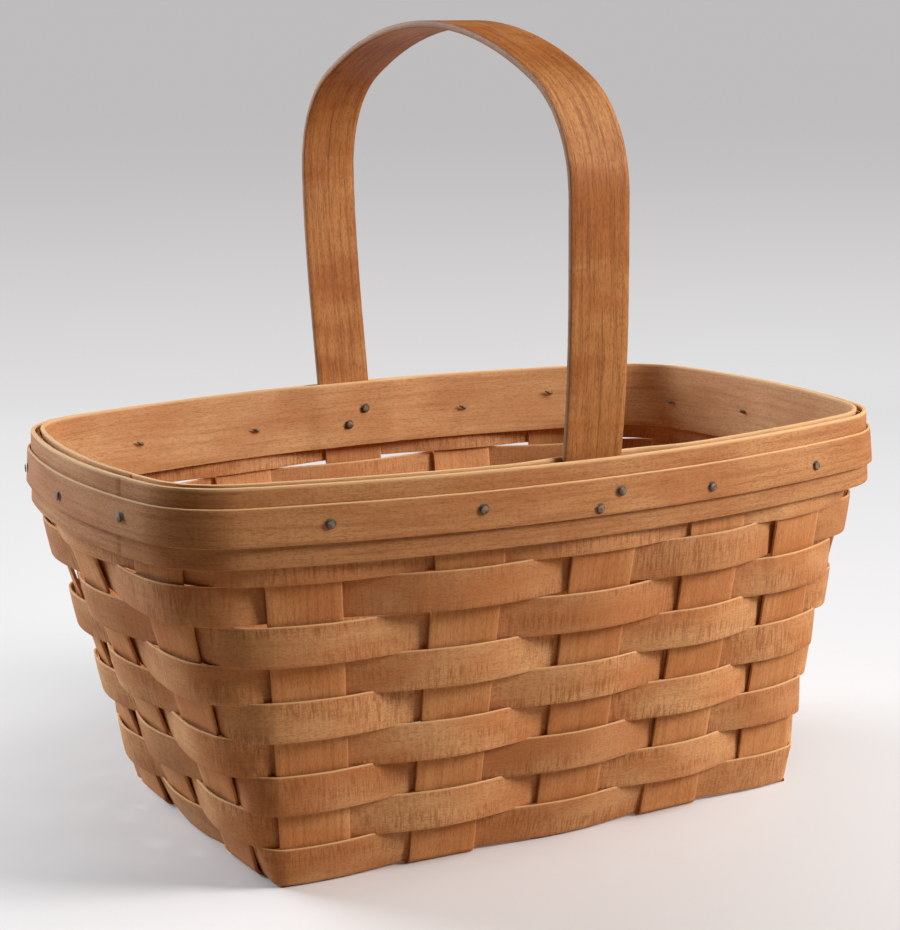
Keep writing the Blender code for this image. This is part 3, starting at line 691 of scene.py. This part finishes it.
# Rim bands
# Two wider, thicker bands clamp the tops of the uprights and the handle between them, one inside and one
# outside, and a narrow trim band covers the middle of the outer one. Each is a hoop with lapped ends.
BAND_THICKNESS = 1.5 * MM
TRIM_THICKNESS = 1.0 * MM
BAND_SLACK_AT_TOP = 0.1 * MM
BAND_SPREAD = 2.1 * MM
HANDLE_THICKNESS = 2.4 * MM
BAND_SEAT_TOP = UPRIGHT_THICKNESS / 2.0 + LAYER_GAP + BAND_SLACK_AT_TOP
BAND_SEAT_BOTTOM = BAND_SEAT_TOP + BAND_SPREAD
BAND_WIDTH = RIM_TOP - BAND_BOTTOM
BAND_EDGE = 0.4 * MM
BAND_RAGGED = 0.10 * MM
BAND_RELIEF = 0.09 * MM
BAND_WAVE = 0.12 * MM
BAND_WAVES_PER_METRE = 16.0
WAVE_BY_HEIGHT = 900.0
WAVE_LAYER = 3.0
BAND_GRAIN = 50
TRIM_GRAIN = 49
TRIM_STANDS_OFF = 0.5 * MM
HANDLE_UPRIGHT = 2


def leg_seat(height):
    """Depth of the handle's outer face from the wall's middle: flat against the upright's inmost edge."""
    outline = wall(height)
    far_edge = upright_place("front", HANDLE_UPRIGHT, height) + UPRIGHT_WIDTH / 2.0
    bow = outline.at(outline.length_to("front", far_edge))[0].y - outline.at(0.0)[0].y
    return bow + UPRIGHT_THICKNESS / 2.0 + LAYER_GAP


def seat_at(height):
    """Depth of the outer band's inner face from the middle of the uprights."""
    return blend(BAND_SEAT_BOTTOM, BAND_SEAT_TOP, (height - BAND_BOTTOM) / BAND_WIDTH)


def band_stations(bottom, top, seats, thickness, away, leg_room, lap_crossing, lap_over):
    """Stations of a band on the uprights, bowed round the handle's legs where it needs room.

    Its ends lap over the upright of one crossing, over the gap after that upright, or over both.
    """
    handle_crossings = [CROSSINGS.index((side, HANDLE_UPRIGHT)) for side in ("front", "back")]
    half = thickness / 2.0
    stations = []
    lap = []
    for number, (crossing, share, _, low, high) in enumerate(hoop_places(bottom, top)):
        room = 0.0
        if crossing in handle_crossings:
            room = leg_room * (1.0 - ease(share))
        elif crossing + 1 in handle_crossings:
            room = leg_room * ease(share)
        low_face = max(seats[0], seats[1] + room)
        high_face = seats[1] + room
        wave_place = Vector((low * BAND_WAVES_PER_METRE, bottom * WAVE_BY_HEIGHT, WAVE_LAYER))
        wave = BAND_WAVE * noise.noise(wave_place)
        stations.append(hoop_station(wall(bottom).at(low), wall(top).at(high), (bottom + wave, top + wave),
                                     (away * (low_face + half), away * (high_face + half)), thickness, away))
        here = "gap" if share > 0.0 else "upright"
        if crossing == lap_crossing and lap_over in (here, "both"):
            lap.append(number)
    return lapped(stations, top - bottom, thickness, lap[0], lap[-1] + 1, True)


trim_bottom, trim_top = (corner.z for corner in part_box("trim_band"))
band_wood = wood("band_wood", body=(0.49, 0.205, 0.074, 1.0), pale=(0.59, 0.296, 0.124, 1.0),
                 deep=(0.27, 0.078, 0.020, 1.0), half_width=BAND_WIDTH / 2.0, grain=0.45,
                 chatter=0.10, pores=0.40, relief=BAND_RELIEF)
inner_wood = wood("inner_band_wood", body=(0.59, 0.286, 0.120, 1.0), pale=(0.69, 0.395, 0.183, 1.0),
                  deep=(0.37, 0.130, 0.042, 1.0), half_width=BAND_WIDTH / 2.0, grain=0.45,
                  chatter=0.05, pores=0.40, relief=BAND_RELIEF)
trim_wood = wood("trim_wood", body=(0.48, 0.197, 0.069, 1.0), pale=(0.59, 0.292, 0.120, 1.0),
                 deep=(0.27, 0.078, 0.020, 1.0), half_width=(trim_top - trim_bottom) / 2.0, grain=0.45,
                 chatter=0.12, pores=0.40, relief=BAND_RELIEF)
room_for_legs = leg_seat(RIM_TOP) + HANDLE_THICKNESS + LAYER_GAP - BAND_SEAT_TOP
on_band = BAND_THICKNESS + LAYER_GAP
band_seats = (BAND_SEAT_BOTTOM, BAND_SEAT_TOP)
trim_seats = (seat_at(trim_bottom) + on_band + TRIM_STANDS_OFF, seat_at(trim_top) + on_band)
for node, thickness, away, seats, leg_room, lap_at, lap_over, finish, grain in (
        ("inner_band", BAND_THICKNESS, -1.0, band_seats, room_for_legs, ("left", 1), "gap", inner_wood,
         BAND_GRAIN),
        ("outer_band", BAND_THICKNESS, 1.0, band_seats, 0.0, ("left", 0), "upright", band_wood, BAND_GRAIN),
        ("trim_band", TRIM_THICKNESS, 1.0, trim_seats, 0.0, ("back", 3), "both", trim_wood, TRIM_GRAIN)):
    bottom, top = (corner.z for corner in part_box(node))
    stations = band_stations(bottom, top, seats, thickness, away, leg_room, CROSSINGS.index(lap_at),
                             lap_over)
    band = splint("splint_" + node, top - bottom, thickness, stations, grain, BAND_EDGE, BAND_RAGGED)
    band.data.materials.append(finish)
    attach(band, "root")
    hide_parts(node)

# Handle
# One thick strip, steamed and bent to an arch. Its legs go down inside the rim, against the middle
# upright of each long side, and are tacked through there, so the handle doesn't swing.
HANDLE_WIDTH = 22.5 * MM
HANDLE_ALONG = 0.4 * MM
HANDLE_LEAN = 1.5 * MM
HANDLE_ABOVE_RIM = 144.0 * MM
HANDLE_SPRING = 87.0 * MM
HANDLE_BULGE = 6.6 * MM
HANDLE_SHOULDER = 43.0 * MM
HANDLE_END = 1.5 * MM
HANDLE_STEP = 1.5 * MM
HANDLE_EDGE = 0.55 * MM
HANDLE_RAGGED = 0.15 * MM
HANDLE_RELIEF = 0.10 * MM
HANDLE_FIBRES_ALONG = 80.0
HANDLE_GRAIN = 50
# Painted shade along both side edges of the handle
HANDLE_SIDE_SHADE = (0.22, 0.115, 0.065, 1.0)
LEG_LEAVES_SEAT = 8.0


def handle_profile():
    """Outer face from the front leg's lower end to the crown, as (Y, Z, outward angle)."""
    seat_y = wall(RIM_TOP).at(0.0)[0].y + leg_seat(RIM_TOP)
    low = BAND_BOTTOM + HANDLE_END
    low_y = wall(low).at(0.0)[0].y + leg_seat(low)
    half_span = -seat_y + HANDLE_BULGE
    spring = RIM_TOP + HANDLE_SPRING
    rise = HANDLE_ABOVE_RIM - HANDLE_SPRING
    leg_radius = (HANDLE_SPRING ** 2 + HANDLE_BULGE ** 2) / (2.0 * HANDLE_BULGE)
    inset = half_span - HANDLE_SHOULDER
    crown = (inset ** 2 + rise ** 2 - HANDLE_SHOULDER ** 2) / (2.0 * (rise - HANDLE_SHOULDER))
    crown_centre = RIM_TOP + HANDLE_ABOVE_RIM - crown
    handover = math.atan2(crown - rise, inset)
    leg_turn = math.asin(HANDLE_SPRING / leg_radius)
    points = []
    steps = round((RIM_TOP - low) / HANDLE_STEP)
    for step in range(steps):
        points.append((blend(low_y, seat_y, step / steps), blend(low, RIM_TOP, step / steps), 0.0))
    steps = round(HANDLE_SPRING / HANDLE_STEP)
    for step in range(steps):
        angle = leg_turn * (step / steps - 1.0)
        y = -half_span + leg_radius * (1.0 - math.cos(angle))
        lean = angle * ease(LEG_LEAVES_SEAT * step / steps)
        points.append((y, spring + leg_radius * math.sin(angle), lean))
    steps = round(HANDLE_SHOULDER * handover / HANDLE_STEP)
    for step in range(steps):
        angle = handover * step / steps
        y = -inset - HANDLE_SHOULDER * math.cos(angle)
        points.append((y, spring + HANDLE_SHOULDER * math.sin(angle), angle))
    steps = round(crown * (math.pi / 2.0 - handover) / HANDLE_STEP)
    for step in range(steps + 1):
        angle = blend(handover, math.pi / 2.0, step / steps)
        points.append((-crown * math.cos(angle), crown_centre + crown * math.sin(angle), angle))
    return points


def handle_station(y, z, angle):
    """The handle at one place along its arch, which leans a little to the left as it rises."""
    lean = HANDLE_LEAN * ease((z - RIM_TOP) / HANDLE_SPRING)

    def faces(across):
        outer = Vector((HANDLE_ALONG - lean + across, y, z))
        inner = outer + Vector((0.0, math.cos(angle), -math.sin(angle))) * HANDLE_THICKNESS
        return inner, outer

    return faces


half_arch = handle_profile()
arch = half_arch + [(-y, z, math.pi - angle) for y, z, angle in half_arch[-2::-1]]
# The handle's wood has painted shade along its two side edges in place of a paler cut edge
handle_wood = wood("handle_wood", body=(0.44, 0.146, 0.033, 1.0), pale=(0.57, 0.247, 0.078, 1.0),
                   deep=(0.15, 0.038, 0.009, 1.0), half_width=HANDLE_WIDTH / 2.0, grain=0.55,
                   chatter=0.02, pores=0.60, relief=HANDLE_RELIEF, rough=0.50, top_highlight=0.0, sides=0.60,
                   edge=HANDLE_SIDE_SHADE, fibres_along=HANDLE_FIBRES_ALONG)
handle = splint("bent_handle_strip", HANDLE_WIDTH, HANDLE_THICKNESS,
                [handle_station(*place) for place in arch], HANDLE_GRAIN, HANDLE_EDGE, HANDLE_RAGGED)
handle.data.materials.append(handle_wood)
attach(handle, "root")
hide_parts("handle")

# Tacks
# Small round-headed steel tacks go through all the layers of the rim, and their points are bent over
# flat against the far side. The heads are dull with age and stand just proud of the wood.
HEAD_RADIUS = 1.6 * MM
HEAD_HEIGHT = 0.4 * MM
HEAD_OVAL = 0.94
HEAD_SIDES = 28
UNDER_HEAD = 0.05 * MM
MERGE_WITHIN = 0.00001
TARNISH = (700.0, 700.0, 700.0)
SCRATCHES = (2400.0, 2400.0, 2400.0)
SCRATCH_RELIEF = 0.05 * MM
WORN_STEEL = (0.24, 0.160, 0.105, 1.0)
TARNISHED_STEEL = (0.10, 0.060, 0.036, 1.0)
TARNISH_RISE = (0.42, 0.66)
# Painted shade, almost black, round the edge of each head where it meets the wood
HEAD_RIM_SHADE = (0.025, 0.014, 0.008, 1.0)
HEAD_RIM_SHADE_RISE = (0.66, 0.92)
HEAD_RIM_SHADE_DEPTH = 0.9


def tack_seat(node):
    """Middle of the flat under a tack's head and the way the head faces, read off the node."""
    flats = {}
    for face in frame["nodes"][node].data.polygons:
        key = tuple(round(part, 2) for part in face.normal)
        area, centre = flats.get(key, (0.0, Vector()))
        flats[key] = (area + face.area, centre + face.center * face.area)
    normal, (area, centre) = max(flats.items(), key=lambda item: item[1][0])
    return centre / area, -Vector(normal).normalized()


def tack_head(name):
    """A low dome, flat underneath, facing up."""
    bpy.ops.object.select_all(action="DESELECT")
    bpy.ops.mesh.primitive_uv_sphere_add(segments=HEAD_SIDES, ring_count=HEAD_SIDES // 2, radius=HEAD_RADIUS)
    head = bpy.context.object
    head.name = name
    bpy.ops.object.mode_set(mode="EDIT")
    bpy.ops.mesh.select_all(action="SELECT")
    bpy.ops.mesh.bisect(plane_co=(0.0, 0.0, 0.0), plane_no=(0.0, 0.0, -1.0), clear_outer=True, use_fill=True)
    bpy.ops.mesh.select_all(action="SELECT")
    bpy.ops.transform.resize(value=(1.0, HEAD_OVAL, HEAD_HEIGHT / HEAD_RADIUS))
    bpy.ops.mesh.normals_make_consistent(inside=False)
    bpy.ops.object.mode_set(mode="OBJECT")
    reach = head.data.attributes.new("reach", "FLOAT", "POINT")
    for vertex in head.data.vertices:
        reach.data[vertex.index].value = vertex.co.xy.length / HEAD_RADIUS
    return head


def steel(name):
    """Dull bare steel, tarnished in spots, with painted shade almost black round the edge of a head."""
    finish = Finish(name)
    where = finish.node("ShaderNodeTexCoord", {}, {}, 3)
    spots = finish.cloud(where, TARNISH, 3.0)
    scratch = finish.cloud(where, SCRATCHES, 2.0)
    reach = finish.node("ShaderNodeAttribute", {"attribute_name": "reach"}, {}, 2)
    colour = finish.mix(spots.rise(*TARNISH_RISE), WORN_STEEL, TARNISHED_STEEL)
    # Painted shade round the head's edge
    colour = finish.mix(reach.rise(*HEAD_RIM_SHADE_RISE) * HEAD_RIM_SHADE_DEPTH, colour, HEAD_RIM_SHADE)
    bump = finish.node("ShaderNodeBump", {},
                       {"Strength": 1.0, "Distance": SCRATCH_RELIEF, "Height": scratch})
    finish.surface(Base_Color=colour, Metallic=0.15, Roughness=0.55 + spots * 0.25, Normal=bump)
    return finish.material


tack_steel = steel("tack_steel")
for node in sorted(name for name in frame["nodes"] if name.startswith("tack_")):
    seat, facing = tack_seat(node)
    head = tack_head("head_of_" + node)
    turn = Vector((0.0, 0.0, 1.0)).rotation_difference(facing)
    for vertex in head.data.vertices:
        vertex.co = seat + turn @ vertex.co
    shank = frame["nodes"][node].copy()
    shank.data = frame["nodes"][node].data.copy()
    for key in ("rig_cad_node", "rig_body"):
        del shank[key]
    shank.parent = None
    shank.name = "dressed_" + node
    bpy.context.scene.collection.objects.link(shank)
    bpy.ops.object.select_all(action="DESELECT")
    shank.select_set(True)
    bpy.context.view_layer.objects.active = shank
    bpy.ops.object.mode_set(mode="EDIT")
    bpy.ops.mesh.select_all(action="SELECT")
    bpy.ops.mesh.remove_doubles(threshold=MERGE_WITHIN)
    bpy.ops.mesh.bisect(plane_co=seat - facing * UNDER_HEAD, plane_no=facing, clear_outer=True,
                        use_fill=True)
    bpy.ops.object.mode_set(mode="OBJECT")
    head.select_set(True)
    shank.data.materials.clear()
    bpy.ops.object.join()
    bpy.ops.object.shade_smooth_by_angle(angle=SMOOTH_ANGLE)
    shank.data.materials.clear()
    shank.data.materials.append(tack_steel)
    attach(shank, "root")
    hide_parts(node)

# Studio
# White paper that turns grey with distance, with painted light that makes it palest on the right and
# lightens the lamps' shadows on it beside the basket, a soft key lamp on the right, a cooler one behind on
# the left, a weak one above, and the camera in front of the basket's left corner.
FLOOR_SIZE = 60.0
FLOOR_WHITE = (0.76, 0.735, 0.735, 1.0)
FLOOR_BOUNCE = (0.47, 0.37, 0.28, 1.0)
FLOOR_ROUGHNESS = 0.7
PAPER_PALE = (0.95, 0.94, 0.94, 1.0)
PAPER_GREY = (0.52, 0.505, 0.505, 1.0)
# Painted light: the paper glows white on the right, over the lamps' shadow there
RIGHT_PAINTED_LIGHT = (1.0, 1.0, 1.0, 1.0)
PICTURE_RIGHT = (0.875, -0.484, 0.0)
AIR_WARMTH = (1.0, 0.88, 0.72, 1.0)
AIR_STRENGTH = 0.02
LAMP_AIM = 0.12

# In metres: over what distance the paper's pale tone halves, and where its even glow takes over from the
# lit floor, by distance and, up to MOST_BESIDE, to either side, where it is painted light over the lamps'
# shadows. RIGHT_RISE, for the painted light on the right, is in shares of the distance.
FADE_EVERY = 1.04
GLOW_AWAY = (0.30, 1.1)
GLOW_BESIDE = (0.04, 0.30)
MOST_BESIDE = 0.8
RIGHT_RISE = (0.0, 0.22)

bpy.ops.object.select_all(action="DESELECT")
bpy.ops.mesh.primitive_plane_add(size=FLOOR_SIZE)
floor = bpy.context.object
floor.name = "floor"
paper = Finish("floor_paper")
where = paper.node("ShaderNodeTexCoord", {}, {}, 3)
away = paper.node("ShaderNodeVectorMath", {"operation": "LENGTH"}, {0: where}, 1)
seen = paper.node("ShaderNodeLightPath", {}, {}, "Is Camera Ray")
glossy = paper.node("ShaderNodeLightPath", {}, {}, "Is Glossy Ray")
direct = seen.larger(glossy)
paper.surface(Base_Color=paper.mix(direct, FLOOR_BOUNCE, FLOOR_WHITE), Roughness=FLOOR_ROUGHNESS)
side = paper.node("ShaderNodeVectorMath", {"operation": "DOT_PRODUCT"}, {0: where, 1: PICTURE_RIGHT}, 1)
# Painted light on the right mixed into the paper's pale glow
paper_and_right_light = paper.mix((side / away).rise(*RIGHT_RISE), PAPER_PALE, RIGHT_PAINTED_LIGHT)
pale = paper.node("ShaderNodeEmission", {}, {"Color": paper_and_right_light, "Strength": 1.0})
grey = paper.node("ShaderNodeEmission", {}, {"Color": PAPER_GREY, "Strength": 1.0})
fade = paper.node("ShaderNodeMath", {"operation": "POWER"}, {0: 0.5, 1: away * (1.0 / FADE_EVERY)})
far = paper.node("ShaderNodeMixShader", {}, {0: fade, 1: grey, 2: pale})
lit = Value(paper, paper.shader.outputs[0])
# Painted light beside the basket: the glow takes over from the lit floor and its shadows
glow = away.rise(*GLOW_AWAY).larger(side.size().rise(*GLOW_BESIDE) * MOST_BESIDE)
whole = paper.node("ShaderNodeMixShader", {}, {0: glow * direct, 1: lit, 2: far})
paper.feed(paper.tree.nodes["Material Output"].inputs["Surface"], whole)
floor.data.materials.append(paper.material)

world = bpy.data.worlds.new("studio_air")
bpy.context.scene.world = world
world.use_nodes = True
air = world.node_tree
background = air.nodes["Background"]
background.inputs["Color"].default_value = AIR_WARMTH
background.inputs["Strength"].default_value = AIR_STRENGTH
backdrop = air.nodes.new("ShaderNodeBackground")
backdrop.inputs["Color"].default_value = PAPER_GREY
backdrop.inputs["Strength"].default_value = 1.0
path = air.nodes.new("ShaderNodeLightPath")
either = air.nodes.new("ShaderNodeMixShader")
air.links.new(path.outputs["Is Camera Ray"], either.inputs[0])
air.links.new(background.outputs[0], either.inputs[1])
air.links.new(backdrop.outputs[0], either.inputs[2])
air.links.new(either.outputs[0], air.nodes["World Output"].inputs["Surface"])


def lamp(name, azimuth, elevation, distance, size, power, colour):
    """A soft square lamp that looks at the middle of the object, in degrees, metres and watts."""
    data = bpy.data.lights.new(name, "AREA")
    data.size = size
    data.energy = power
    data.color = colour
    made = bpy.data.objects.new(name, data)
    turn = math.radians(azimuth)
    lift = math.radians(elevation)
    toward = Vector((math.sin(turn) * math.cos(lift), -math.cos(turn) * math.cos(lift), math.sin(lift)))
    made.location = Vector((0.0, 0.0, LAMP_AIM)) + toward * distance
    made.rotation_euler = toward.to_track_quat("Z", "Y").to_euler()
    bpy.context.scene.collection.objects.link(made)


lamp("key_lamp", 51.0, 26.0, 1.5, 0.50, 23.5, (1.0, 0.975, 0.94))
lamp("left_lamp", -148.0, 22.0, 1.5, 0.9, 30.0, (0.86, 0.94, 1.0))
lamp("top_lamp", 40.0, 66.0, 1.4, 0.5, 8.0, (1.0, 0.99, 0.97))

PICTURE = (900, 930)
FOCAL_PIXELS = 2176.5
AIM_HEIGHT = 0.1188
CAMERA_AZIMUTH = math.radians(-28.92)
CAMERA_ELEVATION = math.radians(11.27)
CAMERA_DISTANCE = 0.8128
CAMERA_ROLL = math.radians(-0.66)
AIM_PIXEL = (454.75, 475.22)
SENSOR = 36.0

back = Vector((math.sin(CAMERA_AZIMUTH) * math.cos(CAMERA_ELEVATION),
               -math.cos(CAMERA_AZIMUTH) * math.cos(CAMERA_ELEVATION), math.sin(CAMERA_ELEVATION)))
camera_data = bpy.data.cameras.new("camera")
camera_data.sensor_width = SENSOR
camera_data.lens = FOCAL_PIXELS * SENSOR / PICTURE[1]
camera_data.shift_x = (PICTURE[0] / 2.0 - AIM_PIXEL[0]) / PICTURE[1]
camera_data.shift_y = (AIM_PIXEL[1] - PICTURE[1] / 2.0) / PICTURE[1]
camera = bpy.data.objects.new("camera", camera_data)
camera.location = Vector((0.0, 0.0, AIM_HEIGHT)) + back * CAMERA_DISTANCE
camera.rotation_mode = "QUATERNION"
camera.rotation_quaternion = (-back).to_track_quat("-Z", "Y") @ Quaternion((0.0, 0.0, 1.0), CAMERA_ROLL)
bpy.context.scene.collection.objects.link(camera)
bpy.context.scene.camera = camera
bpy.context.scene.view_settings.view_transform = "Standard"
